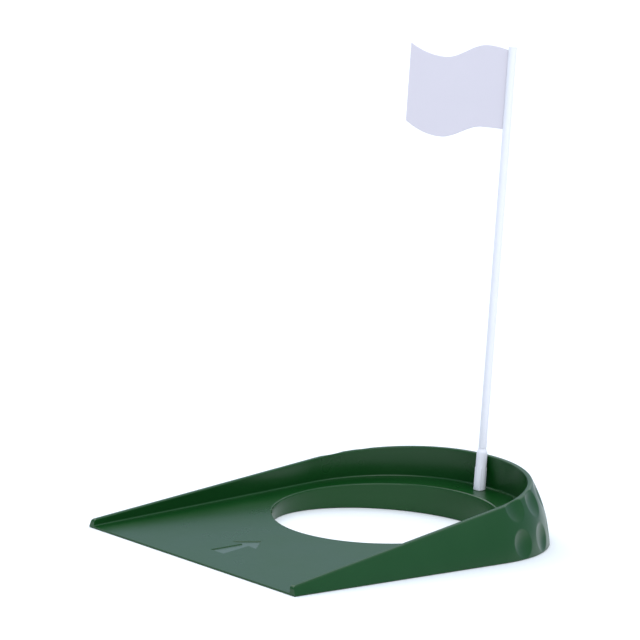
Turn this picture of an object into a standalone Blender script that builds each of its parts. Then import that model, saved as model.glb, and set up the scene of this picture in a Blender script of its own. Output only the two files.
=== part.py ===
"""Small putting cup: a wedge-shaped green moulding with a hole and a white flagstick.

The ball rolls up the ramp from the open front into the hole.  The flagstick is a
pole in a foot ferrule that plugs into the ledge behind the hole, with a small
wavy flag at its top.

Frame: metres, +Z up, +Y from the open front to the high back, X across.
Origin: on the ground under the middle of the base's length and width.
"""
import math

import bmesh
import bpy
from mathutils import Matrix, Vector

# ---------------------------------------------------------------- driving sizes
BASE_LENGTH = 0.202          # front edge to the back of the wall, on the ground
BACK_RADIUS = 0.0725         # ground outline of the round back
WALL_DRAFT = 0.36            # how far the outer wall leans in per unit of height
WALL_BULGE = 8.5             # roundness of the outer wall from ground to rim, per metre
BACK_SQUARENESS = 2.09       # exponent of the back's outline; 2 is a half circle
RIM_FRONT_HEIGHT = 0.0042    # top of the side walls at the front edge
RIM_SLOPE = 0.149            # rise of the wall tops per unit of length
RIM_THICKNESS = 0.0024       # wall thickness along its top
RIM_ROUND = 0.0006           # rounding of both top edges
INNER_LEAN = 0.17            # lean of the inner wall face, outwards going down
FOOT_FILLET = 0.0015         # fillet between the inner wall and the ramp
RAMP_FRONT_HEIGHT = 0.0008   # thickness of the front lip
RAMP_SLOPE = 0.0775          # rise of the ramp per unit of length
RAMP_SKIN = 0.0020           # thickness of the ramp and of the ledge
WALL_SKIN = 0.0022           # thickness of the outer wall at the ground
HOLE_RADIUS = 0.054          # regulation cup, 108 mm across
HOLE_SETBACK = 0.0085        # hole centre in front of the centre of the round back
SKIRT_SKIN = 0.0020          # wall of the tube that hangs from the hole
HOLLOW_FROM_FRONT = 0.020    # the underside is solid in front of this
DIMPLE_RADIUS = 0.0068       # round dimples pressed into the outer wall
DIMPLE_DEPTH = 0.0013        # below the wall's tangent plane
DIMPLE_LOW_HEIGHT = 0.0071   # centre of the lower row
DIMPLE_HIGH_HEIGHT = 0.0229  # centre of the upper row
DIMPLE_FIRST_ANGLE = 11.5    # degrees behind the widest line
DIMPLE_COLUMNS = 11          # evenly spread round the back
ARROW_TAIL_FROM_FRONT = 0.0172
ARROW_NECK_FROM_FRONT = 0.0338
ARROW_TIP_FROM_FRONT = 0.0432
ARROW_TAIL_WIDTH = 0.0088
ARROW_NECK_WIDTH = 0.0044
ARROW_HEAD_WIDTH = 0.0160
ARROW_BARB_SWEEP = 0.0006    # the barbs end a little behind the neck
ARROW_DEPTH = 0.0005
SOCKET_SKIN = 0.0026         # wall of the boss round the socket under the ledge
SOCKET_END_GAP = 0.0010      # room under the peg
FERRULE_RADIUS = 0.0027      # the flagstick's foot, which stands close to the back wall
FERRULE_MOUTH_LIP = 0.00005  # the ferrule's mouth is this much wider than the pole
FERRULE_HEIGHT = 0.0209      # ledge to the ferrule's mouth
FERRULE_TAPER = 0.0021       # length of the cone under the mouth
FERRULE_PEG_RADIUS = 0.0021  # the peg fits the socket with the fit gap all round
FERRULE_PEG_LENGTH = 0.0095
FERRULE_RIBS = 4             # ribs round the foot
FERRULE_RIB_LENGTH = 0.0119  # from the ledge up
FERRULE_RIB_PROUD = 0.0003
FERRULE_RIB_ROOT = 0.0008    # how deep a rib is rooted in the collar
FERRULE_RIB_WIDTH = 0.0014
POLE_RADIUS = 0.0020
STICK_HEIGHT = 0.21816       # ledge to the top of the pole
POLE_END_ROUND = 0.0005
SPIGOT_RADIUS = 0.0012       # thin end of the pole inside the ferrule
SPIGOT_LENGTH = 0.0160
FLAG_REACH = 0.0532          # pole axis to the flag's free edge
FLAG_SIDE_HEIGHT = 0.0383    # height of the straight side edges
FLAG_BELOW_TOP = 0.0017      # upper corners below the top of the pole
FLAG_TOP_CREST = 0.0016      # top edge: crest above its corners
FLAG_TOP_TROUGH = 0.0056     # and trough below them
FLAG_BOTTOM_CREST = 0.0002   # bottom edge: crest above its corners
FLAG_BOTTOM_TROUGH = 0.0064  # and trough below them
FLAG_CREST_REACH = 0.0128    # crest position from the pole axis
FLAG_TROUGH_REACH = 0.0344   # trough position from the pole axis
FLAG_THICKNESS = 0.0008
FLAG_GROOVE_DEPTH = 0.0009   # the flag's edge sits in a groove along the pole
FLAG_TURN = 22.5             # degrees the flag is turned from -X towards the front
FIT_GAP = 0.0003             # clearance between pieces that touch
CUT_MARGIN = 0.0020          # how far a cutter runs past the surface that it cuts

BACK_STEPS = 56              # facets round the back of the wall
HOLE_STEPS = 80
ROUND_STEPS = 32

GREEN = (0.020, 0.085, 0.032, 1.0)
WHITE = (0.80, 0.81, 0.90, 1.0)

MIDDLE = BASE_LENGTH / 2.0                 # from the front edge to the origin
BACK_CENTRE = BASE_LENGTH - BACK_RADIUS    # centre of the round back, from front
HOLE_FROM_FRONT = BACK_CENTRE - HOLE_SETBACK
HOLE_Y = HOLE_FROM_FRONT - MIDDLE
BACK_RIM_INSIDE = ((BASE_LENGTH - WALL_DRAFT * RIM_FRONT_HEIGHT - RIM_THICKNESS)
                   / (1.0 + WALL_DRAFT * RIM_SLOPE))    # on the middle line, from the front
POLE_FROM_FRONT = BACK_RIM_INSIDE - FERRULE_RADIUS - FIT_GAP
POLE_Y = POLE_FROM_FRONT - MIDDLE
FERRULE_TOP_RADIUS = POLE_RADIUS + FERRULE_MOUTH_LIP
SOCKET_RADIUS = FERRULE_PEG_RADIUS + FIT_GAP
LEDGE_HEIGHT = RAMP_FRONT_HEIGHT + RAMP_SLOPE * POLE_FROM_FRONT    # under the flagstick
FERRULE_TOP_HEIGHT = LEDGE_HEIGHT + FERRULE_HEIGHT
POLE_TOP_HEIGHT = LEDGE_HEIGHT + STICK_HEIGHT
FLAG_BOTTOM_HEIGHT = POLE_TOP_HEIGHT - FLAG_BELOW_TOP - FLAG_SIDE_HEIGHT
ABOVE_WALLS = RIM_FRONT_HEIGHT + RIM_SLOPE * BASE_LENGTH + 2.0 * CUT_MARGIN


# ---------------------------------------------------------------- scene helpers
def clear_scene():
    for old in list(bpy.data.objects):
        bpy.data.objects.remove(old, do_unlink=True)


def collection(name):
    found = bpy.data.collections.get(name)
    if found is None:
        found = bpy.data.collections.new(name)
        bpy.context.scene.collection.children.link(found)
    return found


def plastic(name, colour, roughness):
    mat = bpy.data.materials.new(name)
    mat.use_nodes = True
    shader = mat.node_tree.nodes["Principled BSDF"]
    shader.inputs["Base Color"].default_value = colour
    shader.inputs["Roughness"].default_value = roughness
    shader.inputs["Metallic"].default_value = 0.0
    mat.diffuse_color = colour
    return mat


def add_object(name, bm, group, matrix=None):
    bmesh.ops.recalc_face_normals(bm, faces=bm.faces)
    mesh = bpy.data.meshes.new(name)
    bm.to_mesh(mesh)
    bm.free()
    ob = bpy.data.objects.new(name, mesh)
    group.objects.link(ob)
    if matrix is not None:
        ob.matrix_world = matrix
    if group.name == "cutters":
        ob.hide_render = True
        ob.display_type = "WIRE"
    return ob


def boolean(ob, other, operation):
    """Manifold solver: the exact one leaves open edges where the rim's shallow cuts meet."""
    mod = ob.modifiers.new(operation.lower() + "_" + other.name, "BOOLEAN")
    mod.operation = operation
    mod.solver = "MANIFOLD"
    mod.object = other


# ---------------------------------------------------------------- base surfaces
def rim_height(y):
    return RIM_FRONT_HEIGHT + RIM_SLOPE * y


def ramp_height(y):
    return RAMP_FRONT_HEIGHT + RAMP_SLOPE * y


def back_reach(angle):
    """The back's ground outline, measured from its centre; angle 0 is the widest line."""
    c, s = abs(math.cos(angle)), abs(math.sin(angle))
    return BACK_RADIUS * (c ** BACK_SQUARENESS + s ** BACK_SQUARENESS) ** (-1.0 / BACK_SQUARENESS)


def outer_inset(y, z):
    """Outer wall face at height z, measured in from the ground outline."""
    return WALL_DRAFT * z - WALL_BULGE * z * (rim_height(y) - z)


def ground_outline(front):
    """Points (x, y from front, inward normal) from the right front corner round the back."""
    points = [(BACK_RADIUS, front, -1.0, 0.0)]
    for step in range(BACK_STEPS + 1):
        a = math.pi * step / BACK_STEPS
        c, s, reach = math.cos(a), math.sin(a), back_reach(a)
        points.append((reach * c, BACK_CENTRE + reach * s, -c, -s))
    points.append((-BACK_RADIUS, front, 1.0, 0.0))
    return points


def ring(front, inset_of, height_of):
    """One closed ring; inset and height depend on the distance from the front."""
    out = []
    for x, y, nx, ny in ground_outline(front):
        px, py = x, y
        for _ in range(8):
            inset = inset_of(py)
            px, py = x + nx * inset, y + ny * inset
        out.append(Vector((px, py - MIDDLE, height_of(py))))
    return out


def loft(name, rings, group):
    """A closed solid through rings of equal count, flat at both ends."""
    bm = bmesh.new()
    loops = [[bm.verts.new(p) for p in points] for points in rings]
    count = len(loops[0])
    for low, high in zip(loops, loops[1:]):
        for i in range(count):
            j = (i + 1) % count
            bm.faces.new((low[i], low[j], high[j], high[i]))
    bm.faces.new(loops[0])
    bm.faces.new(list(reversed(loops[-1])))
    return add_object(name, bm, group)


def rim_inset(y):
    """Outer edge of the wall top, measured in from the ground outline."""
    return WALL_DRAFT * rim_height(y)


def inner_inset(y, z):
    """Inner wall face at height z, measured in from the ground outline."""
    return rim_inset(y) + RIM_THICKNESS - INNER_LEAN * (rim_height(y) - z)


def outer_shell(group):
    rounding = []
    for deg in (0.0, 30.0, 60.0, 90.0):
        a = math.radians(deg)
        rounding.append((RIM_ROUND * (1.0 - math.cos(a)), RIM_ROUND * (1.0 - math.sin(a))))
    rings = []
    for share in (0.0, 0.2, 0.4, 0.6, 0.8):
        rings.append(ring(0.0,
                          lambda y, t=share: outer_inset(y, t * (rim_height(y) - RIM_ROUND)),
                          lambda y, t=share: t * (rim_height(y) - RIM_ROUND)))
    for inward, drop in rounding:
        rings.append(ring(0.0,
                          lambda y, i=inward, d=drop: outer_inset(y, rim_height(y) - d) + i,
                          lambda y, d=drop: rim_height(y) - d))
    return loft("putting_base", rings, group)


def tray_cutter(group):
    """The space above the ramp and between the walls, open at the front and above."""
    front = -2.0 * CUT_MARGIN
    rings = []
    for deg in (0.0, 30.0, 60.0, 90.0):
        a = math.radians(deg)
        inward = FOOT_FILLET * (1.0 - math.sin(a))
        lift = FOOT_FILLET * (1.0 - math.cos(a))
        rings.append(ring(front,
                          lambda y, i=inward, h=lift: inner_inset(y, ramp_height(y) + h) + i,
                          lambda y, h=lift: ramp_height(y) + h))
    for deg in (0.0, 30.0, 60.0, 90.0):
        a = math.radians(deg)
        drop = RIM_ROUND * (1.0 - math.sin(a))
        outward = RIM_ROUND * (1.0 - math.cos(a))
        rings.append(ring(front,
                          lambda y, o=outward, d=drop: inner_inset(y, rim_height(y) - d) - o,
                          lambda y, d=drop: rim_height(y) - d))
    rings.append(ring(front,
                      lambda y: inner_inset(y, rim_height(y)) - RIM_ROUND,
                      lambda y: rim_height(y) + 2.0 * CUT_MARGIN))
    return loft("cut_tray", rings, group)


def underside_cutter(group):
    """The open hollow under the ramp, inside the outer wall."""
    low = ring(HOLLOW_FROM_FRONT, lambda y: WALL_SKIN + outer_inset(y, -CUT_MARGIN), lambda y: -CUT_MARGIN)
    high = ring(HOLLOW_FROM_FRONT,
                lambda y: WALL_SKIN + outer_inset(y, ramp_height(y) - RAMP_SKIN),
                lambda y: ramp_height(y) - RAMP_SKIN)
    return loft("cut_underside", [low, high], group)


def cylinder(name, radius, low, high, centre_y, steps, group):
    bm = bmesh.new()
    bmesh.ops.create_cone(bm, cap_ends=True, segments=steps, radius1=radius, radius2=radius,
                          depth=high - low)
    place = Matrix.Translation((0.0, centre_y, (low + high) / 2.0))
    bmesh.ops.transform(bm, matrix=place, verts=bm.verts)
    return add_object(name, bm, group)


def box(name, size, matrix, group):
    bm = bmesh.new()
    bmesh.ops.create_cube(bm, size=1.0)
    bmesh.ops.transform(bm, matrix=Matrix.Diagonal((*size, 1.0)), verts=bm.verts)
    bmesh.ops.transform(bm, matrix=matrix, verts=bm.verts)
    return add_object(name, bm, group)


def turned(name, profile, steps, group, matrix=None):
    """A turned solid: the profile (radius, height) runs down its outer side."""
    bm = bmesh.new()
    verts = [bm.verts.new((r, 0.0, z)) for r, z in profile]
    for a, b in zip(verts, verts[1:]):
        bm.edges.new((a, b))
    mesh = bpy.data.meshes.new(name)
    bm.to_mesh(mesh)
    bm.free()
    ob = bpy.data.objects.new(name, mesh)
    group.objects.link(ob)
    if matrix is not None:
        ob.matrix_world = matrix
    screw = ob.modifiers.new("turn", "SCREW")
    screw.axis = "Z"
    screw.steps = steps
    screw.render_steps = steps
    screw.use_merge_vertices = True
    screw.merge_threshold = 0.00001
    if group.name == "cutters":
        ob.hide_render = True
        ob.display_type = "WIRE"
    return ob


def flat_outline(name, points, thickness, matrix, group):
    """A flat plate from an outline in its own XY plane, welded into a closed mesh."""
    curve = bpy.data.curves.new(name + "_outline", "CURVE")
    curve.dimensions = "2D"
    curve.fill_mode = "BOTH"
    curve.extrude = thickness / 2.0
    spline = curve.splines.new("POLY")
    spline.points.add(len(points) - 1)
    for point, (x, y) in zip(spline.points, points):
        point.co = (x, y, 0.0, 1.0)
    spline.use_cyclic_u = True
    source = bpy.data.objects.new(name + "_outline", curve)
    group.objects.link(source)
    source.matrix_world = matrix
    bpy.context.view_layer.update()
    evaluated = source.evaluated_get(bpy.context.evaluated_depsgraph_get())
    mesh = bpy.data.meshes.new_from_object(evaluated)
    mesh.name = name
    bm = bmesh.new()
    bm.from_mesh(mesh)
    bmesh.ops.remove_doubles(bm, verts=bm.verts, dist=0.000001)
    bmesh.ops.recalc_face_normals(bm, faces=bm.faces)
    bm.to_mesh(mesh)
    bm.free()
    bpy.data.objects.remove(source, do_unlink=True)
    ob = bpy.data.objects.new(name, mesh)
    group.objects.link(ob)
    ob.matrix_world = matrix
    if group.name == "cutters":
        ob.hide_render = True
        ob.display_type = "WIRE"
    return ob


# ---------------------------------------------------------------- base details
def dimple_cutter(group):
    """Shallow round dimples in two rows round the back of the outer wall."""
    sphere = (DIMPLE_RADIUS ** 2 + DIMPLE_DEPTH ** 2) / (2.0 * DIMPLE_DEPTH)
    profile = [(0.0, CUT_MARGIN), (DIMPLE_RADIUS, CUT_MARGIN)]
    for step in range(5):
        r = DIMPLE_RADIUS * (1.0 - step / 4.0)
        profile.append((r, sphere - DIMPLE_DEPTH - math.sqrt(sphere ** 2 - r ** 2)))
    lens = turned("lens", profile, 24, group)
    bpy.context.view_layer.update()
    evaluated = lens.evaluated_get(bpy.context.evaluated_depsgraph_get())
    shape = bpy.data.meshes.new_from_object(evaluated)
    bpy.data.objects.remove(lens, do_unlink=True)
    bm = bmesh.new()
    last = 180.0 - DIMPLE_FIRST_ANGLE
    for row in (DIMPLE_LOW_HEIGHT, DIMPLE_HIGH_HEIGHT):
        for column in range(DIMPLE_COLUMNS):
            share = column / (DIMPLE_COLUMNS - 1)
            turn = math.radians(DIMPLE_FIRST_ANGLE + (last - DIMPLE_FIRST_ANGLE) * share)
            y = BACK_CENTRE + (BACK_RADIUS - WALL_DRAFT * row) * math.sin(turn)
            radius = back_reach(turn) - outer_inset(y, row)
            tilt = math.atan(WALL_DRAFT + WALL_BULGE * (2.0 * row - rim_height(y)))
            spot = Vector((radius * math.cos(turn), BACK_CENTRE - MIDDLE + radius * math.sin(turn), row))
            place = (Matrix.Translation(spot) @ Matrix.Rotation(turn, 4, "Z")
                     @ Matrix.Rotation(math.pi / 2.0 - tilt, 4, "Y"))
            start = len(bm.verts)
            bm.from_mesh(shape)
            bm.verts.ensure_lookup_table()
            bmesh.ops.transform(bm, matrix=place, verts=bm.verts[start:])
    return add_object("cut_dimples", bm, group)


def on_ramp(from_front, lift=0.0):
    """A frame lying in the ramp's surface on its middle line, X across, Y up the ramp."""
    spot = Matrix.Translation((0.0, from_front - MIDDLE, ramp_height(from_front) + lift))
    return spot @ Matrix.Rotation(math.atan(RAMP_SLOPE), 4, "X")


def arrow_cutter(group):
    """The engraved arrow that points up the ramp to the hole."""
    neck = ARROW_NECK_FROM_FRONT - ARROW_TAIL_FROM_FRONT
    tip = ARROW_TIP_FROM_FRONT - ARROW_TAIL_FROM_FRONT
    half = [(ARROW_TAIL_WIDTH / 2.0, 0.0), (ARROW_NECK_WIDTH / 2.0, neck),
            (ARROW_HEAD_WIDTH / 2.0, neck - ARROW_BARB_SWEEP)]
    points = half + [(0.0, tip)] + [(-x, y) for x, y in reversed(half)]
    return flat_outline("cut_arrow", points, 2.0 * ARROW_DEPTH, on_ramp(ARROW_TAIL_FROM_FRONT), group)


def make_base(group, cutters):
    base = outer_shell(group)
    hollow = underside_cutter(cutters)
    skirt = cylinder("keep_skirt", HOLE_RADIUS + SKIRT_SKIN, -2.0 * CUT_MARGIN, ABOVE_WALLS,
                     HOLE_Y, HOLE_STEPS, cutters)
    boss = cylinder("keep_boss", SOCKET_RADIUS + SOCKET_SKIN, -2.0 * CUT_MARGIN, ABOVE_WALLS,
                    POLE_Y, ROUND_STEPS, cutters)
    boolean(hollow, skirt, "DIFFERENCE")
    boolean(hollow, boss, "DIFFERENCE")
    hole = cylinder("cut_hole", HOLE_RADIUS, -CUT_MARGIN, ABOVE_WALLS, HOLE_Y, HOLE_STEPS, cutters)
    socket_end = LEDGE_HEIGHT - FERRULE_PEG_LENGTH - SOCKET_END_GAP
    socket = cylinder("cut_socket", SOCKET_RADIUS, socket_end, LEDGE_HEIGHT + CUT_MARGIN,
                      POLE_Y, ROUND_STEPS, cutters)
    boolean(base, tray_cutter(cutters), "DIFFERENCE")
    boolean(base, hollow, "DIFFERENCE")
    boolean(base, hole, "DIFFERENCE")
    boolean(base, socket, "DIFFERENCE")
    boolean(base, arrow_cutter(cutters), "DIFFERENCE")
    boolean(base, dimple_cutter(cutters), "DIFFERENCE")
    return base


# ---------------------------------------------------------------- flagstick
def make_ferrule(group, cutters):
    """The foot: a collar that stands on the ledge, with four ribs and a peg below."""
    low = LEDGE_HEIGHT - CUT_MARGIN
    collar = [(0.0, FERRULE_TOP_HEIGHT), (FERRULE_TOP_RADIUS, FERRULE_TOP_HEIGHT),
              (FERRULE_RADIUS, FERRULE_TOP_HEIGHT - FERRULE_TAPER), (FERRULE_RADIUS, low), (0.0, low)]
    at_pole = Matrix.Translation((0.0, POLE_Y, 0.0))
    foot = turned("pole_ferrule", collar, ROUND_STEPS, group, at_pole)
    bm = bmesh.new()
    high = LEDGE_HEIGHT + FERRULE_RIB_LENGTH
    root, reach = FERRULE_RADIUS - FERRULE_RIB_ROOT, FERRULE_RADIUS + FERRULE_RIB_PROUD
    for index in range(FERRULE_RIBS):
        made = bmesh.ops.create_cube(bm, size=1.0)["verts"]
        fit = Matrix.Diagonal((reach - root, FERRULE_RIB_WIDTH, high - low, 1.0))
        out = Matrix.Translation(((reach + root) / 2.0, 0.0, (low + high) / 2.0))
        turn = Matrix.Rotation((index + 0.5) * 2.0 * math.pi / FERRULE_RIBS, 4, "Z")
        bmesh.ops.transform(bm, matrix=at_pole @ turn @ out @ fit, verts=made)
    ribs = add_object("add_ribs", bm, cutters)
    depth = 4.0 * CUT_MARGIN
    below = box("cut_ledge", (6.0 * reach, 6.0 * reach, depth),
                on_ramp(POLE_FROM_FRONT, FIT_GAP - depth / 2.0), cutters)
    peg = cylinder("add_peg", FERRULE_PEG_RADIUS, LEDGE_HEIGHT - FERRULE_PEG_LENGTH,
                   LEDGE_HEIGHT + CUT_MARGIN, POLE_Y, ROUND_STEPS, cutters)
    seat = FERRULE_TOP_HEIGHT - SPIGOT_LENGTH - FIT_GAP
    bore = cylinder("cut_bore", SPIGOT_RADIUS + FIT_GAP, seat, FERRULE_TOP_HEIGHT + CUT_MARGIN,
                    POLE_Y, 24, cutters)
    boolean(foot, ribs, "UNION")
    boolean(foot, below, "DIFFERENCE")
    boolean(foot, peg, "UNION")
    boolean(foot, bore, "DIFFERENCE")
    return foot


def flag_frame(height):
    """A frame on the pole's axis: X along the flag, Y up, Z across its thickness."""
    turn = Matrix.Rotation(math.pi + math.radians(FLAG_TURN), 4, "Z")
    stand = Matrix.Rotation(math.pi / 2.0, 4, "X")
    return Matrix.Translation((0.0, POLE_Y, height)) @ turn @ stand


def make_pole(group, cutters):
    """The round pole, with a spigot for the ferrule and a groove for the flag."""
    shoulder = FERRULE_TOP_HEIGHT + FIT_GAP
    profile = [(0.0, POLE_TOP_HEIGHT)]
    for step in range(4):
        a = math.radians(90.0 - 30.0 * step)
        profile.append((POLE_RADIUS - POLE_END_ROUND * (1.0 - math.cos(a)),
                        POLE_TOP_HEIGHT - POLE_END_ROUND * (1.0 - math.sin(a))))
    profile += [(POLE_RADIUS, shoulder), (SPIGOT_RADIUS, shoulder),
                (SPIGOT_RADIUS, shoulder - SPIGOT_LENGTH), (0.0, shoulder - SPIGOT_LENGTH)]
    pole = turned("flag_pole", profile, ROUND_STEPS, group, Matrix.Translation((0.0, POLE_Y, 0.0)))
    width = FLAG_THICKNESS + 2.0 * FIT_GAP
    length = FLAG_SIDE_HEIGHT + 2.0 * FIT_GAP
    frame = flag_frame(FLAG_BOTTOM_HEIGHT + FLAG_SIDE_HEIGHT / 2.0)
    inner = POLE_RADIUS - FLAG_GROOVE_DEPTH
    groove = box("cut_groove", (2.0 * POLE_RADIUS, length, width),
                 frame @ Matrix.Translation((inner + POLE_RADIUS, 0.0, 0.0)), cutters)
    boolean(pole, groove, "DIFFERENCE")
    return pole


def wave(reach, near, crest, trough):
    """Height of a flag edge above its corners at a distance from the pole's axis."""
    if reach <= FLAG_CREST_REACH:
        share = (FLAG_CREST_REACH - reach) / (FLAG_CREST_REACH - near)
        return crest * (1.0 - share ** 2)
    if reach <= FLAG_TROUGH_REACH:
        share = (reach - FLAG_CREST_REACH) / (FLAG_TROUGH_REACH - FLAG_CREST_REACH)
        return -trough + (crest + trough) * (1.0 + math.cos(math.pi * share)) / 2.0
    share = (reach - FLAG_TROUGH_REACH) / (FLAG_REACH - FLAG_TROUGH_REACH)
    return -trough * (1.0 - share ** 2)


def make_flag(group):
    near = POLE_RADIUS - FLAG_GROOVE_DEPTH + FIT_GAP
    clear = POLE_RADIUS + FIT_GAP
    steps = 36
    reaches = [near] + [clear + (FLAG_REACH - clear) * i / steps for i in range(steps + 1)]
    bottom = []
    top = []
    for reach in reaches:
        at = max(reach, clear)
        bottom.append((reach, wave(at, clear, FLAG_BOTTOM_CREST, FLAG_BOTTOM_TROUGH)))
        top.append((reach, FLAG_SIDE_HEIGHT + wave(at, clear, FLAG_TOP_CREST, FLAG_TOP_TROUGH)))
    points = bottom + list(reversed(top))
    return flat_outline("flag", points, FLAG_THICKNESS, flag_frame(FLAG_BOTTOM_HEIGHT), group)


def main():
    clear_scene()
    group = collection("putting_cup")
    cutters = collection("cutters")
    base = make_base(group, cutters)
    ferrule = make_ferrule(group, cutters)
    pole = make_pole(group, cutters)
    flag = make_flag(group)
    green = plastic("green_plastic", GREEN, 0.30)
    white = plastic("white_plastic", WHITE, 0.38)
    sheet = plastic("flag_plastic", WHITE, 0.45)
    for ob, mat in ((base, green), (ferrule, white), (pole, white), (flag, sheet)):
        ob.data.materials.clear()
        ob.data.materials.append(mat)
    for ob in (base, ferrule, pole):
        ob.data.shade_smooth()
        ob.data.set_sharp_from_angle(angle=math.radians(35.0))


main()
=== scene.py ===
import math

import bmesh
import bpy
from bpy.props import FloatProperty, FloatVectorProperty, IntProperty, PointerProperty
from mathutils import Matrix, Vector


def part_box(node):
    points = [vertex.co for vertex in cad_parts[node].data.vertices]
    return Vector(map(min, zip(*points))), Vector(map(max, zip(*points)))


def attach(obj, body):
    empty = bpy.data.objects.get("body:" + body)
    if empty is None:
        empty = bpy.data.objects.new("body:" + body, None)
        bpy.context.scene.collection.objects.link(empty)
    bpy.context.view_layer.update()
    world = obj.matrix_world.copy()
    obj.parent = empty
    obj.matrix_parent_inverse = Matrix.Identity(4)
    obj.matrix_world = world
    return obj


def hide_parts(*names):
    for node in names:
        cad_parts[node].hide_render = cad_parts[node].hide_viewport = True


bl_info = {
    "name": "Practice Putting Cup",
    "version": (1, 0, 0),
    "blender": (4, 5, 0),
    "location": "3D View > Sidebar > Putting Cup",
    "description": "Builds a small ramped putting cup with a dimpled back and a lift-out flagstick",
    "category": "Add Mesh",
}

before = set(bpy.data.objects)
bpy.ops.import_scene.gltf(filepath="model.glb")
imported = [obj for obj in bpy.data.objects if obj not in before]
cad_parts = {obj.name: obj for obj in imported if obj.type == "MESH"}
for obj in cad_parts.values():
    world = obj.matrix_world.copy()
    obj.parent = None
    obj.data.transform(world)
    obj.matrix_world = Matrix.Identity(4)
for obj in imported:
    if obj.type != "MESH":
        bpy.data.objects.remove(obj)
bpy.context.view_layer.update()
BASE_LOW, BASE_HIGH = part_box("putting_base")
FERRULE_LOW, FERRULE_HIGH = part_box("pole_ferrule")
POLE_LOW, POLE_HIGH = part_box("flag_pole")
POLE_MIDDLE = (POLE_LOW + POLE_HIGH) / 2.0
MM = 0.001
PAST = 0.004          # how far a cutting shape runs past the surface that it cuts
TALL = 0.05           # higher than the whole base
SOLID_FRONT = 0.020   # the base is solid under the ramp up to here
LEVEL_COLLAR = 0.024  # below this height the ferrule's foot leans with the ledge
FLOOR_LEVEL = -0.0002   # just under the feet
SEAT_GAP = 0.00008    # between the ferrule's foot and the ledge
SHOULDER_GAP = 0.00006   # between the pole's shoulder and the ferrule's mouth
SIDE_STEPS, BACK_STEPS, WALL_STEPS, ROUND_STEPS = 30, 520, 56, 5


def in_mm(name, description, millimetres):
    """A length that shows in the sidebar in the scene's units."""
    return FloatProperty(name=name, description=description, default=millimetres * MM,
                         min=0.0, unit="LENGTH", subtype="DISTANCE", precision=5)


def in_degrees(name, description, degrees):
    return FloatProperty(name=name, description=description, default=math.radians(degrees),
                         unit="ROTATION", subtype="ANGLE")


def plain(name, description, value, low=0.0, high=100.0):
    return FloatProperty(name=name, description=description, default=value,
                         min=low, max=high, precision=4)


def count_property(name, description, value):
    return IntProperty(name=name, description=description, default=value, min=1)


def colour_property(name, description, value):
    return FloatVectorProperty(name=name, description=description, default=value,
                               subtype="COLOR", size=4, min=0.0, max=1.0)


# ------------------------------------------------------------------ settings
class PUTTINGCUP_PG_base(bpy.types.PropertyGroup):
    """Sizes of the green moulding."""
    length: in_mm("Length", "Front lip to the back of the wall", (BASE_HIGH.y - BASE_LOW.y) / MM)
    back_radius: in_mm("Back Radius", "Ground outline of the round back",
                       (BASE_HIGH.x - BASE_LOW.x) / 2.0 / MM)
    wall_draft: plain("Wall Draft", "Lean of the outer wall per unit of height", 0.36)
    wall_bulge: plain("Wall Bulge", "Roundness of the wall from ground to rim, per metre", 8.5)
    back_squareness: plain("Back Squareness", "2 makes the back a half circle", 2.09, 1.5, 4.0)
    rim_front: in_mm("Rim at Front", "Height of the walls at the front lip", 4.2)
    rim_slope: plain("Rim Slope", "Rise of the wall tops per unit of length", 0.149)
    rim_thickness: in_mm("Rim Thickness", "Wall thickness along its top", 2.4)
    rim_round: in_mm("Rim Rounding", "Radius along both edges of the wall top", 0.75)
    inner_lean: plain("Inner Lean", "Outward lean of the inner wall going down", 0.17)
    foot_fillet: in_mm("Foot Fillet", "Fillet between inner wall and ramp", 1.0)
    ramp_front: in_mm("Lip", "Thickness of the front lip", 0.8)
    ramp_slope: plain("Ramp Slope", "Rise of the ramp per unit of length", 0.0775)
    ramp_skin: in_mm("Ramp Skin", "Thickness of ramp and ledge", 2.0)
    wall_skin: in_mm("Wall Skin", "Outer wall thickness at the ground", 2.2)
    hole_radius: in_mm("Hole Radius", "Radius of the cup", 54.0)
    hole_reach: in_mm("Hole Reach", "Hole centre behind the front lip", 121.0)
    hole_round: in_mm("Hole Rounding", "Rounded edge of the hole", 0.8)
    skirt_skin: in_mm("Skirt Skin", "Wall of the tube under the hole", 2.0)
    end_round: in_mm("Wall End Rounding", "Rounded front ends of the side walls", 1.6)
    socket_radius: in_mm("Socket Radius", "Bore for the flagstick's peg", 2.4)
    socket_depth: in_mm("Socket Depth", "Depth of that bore", 10.5)
    boss_radius: in_mm("Boss Radius", "Post round the socket, under the ledge", 5.0)


class PUTTINGCUP_PG_dimples(bpy.types.PropertyGroup):
    """The golf-ball dimples on the outside of the back."""
    radius: in_mm("Radius", "Radius of one dimple", 6.9)
    depth: in_mm("Depth", "Depth at the middle of one dimple", 1.35)
    low_row: in_mm("Low Row", "Height of the lower row", 7.1)
    high_row: in_mm("High Row", "Height of the upper row", 22.9)
    first_angle: in_degrees("First Angle", "First dimple, from the widest line", 11.5)
    columns: count_property("Columns", "Dimples in each row", 11)
    edge_blend: in_mm("Edge Blend", "Softness of each dimple's edge", 0.22)


class PUTTINGCUP_PG_arrow(bpy.types.PropertyGroup):
    """The arrow engraved in the ramp."""
    tail_reach: in_mm("Tail", "Tail behind the front lip", 17.2)
    neck_reach: in_mm("Neck", "Neck behind the front lip", 33.8)
    tip_reach: in_mm("Tip", "Tip behind the front lip", 43.2)
    tail_width: in_mm("Tail Width", "Width at the tail", 8.8)
    neck_width: in_mm("Neck Width", "Shaft width under the head", 4.4)
    head_width: in_mm("Head Width", "Width across the barbs", 16.0)
    barb_sweep: in_mm("Barb Sweep", "How far the barbs end behind the neck", 0.6)
    depth: in_mm("Depth", "Depth of the engraving", 0.5)


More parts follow.
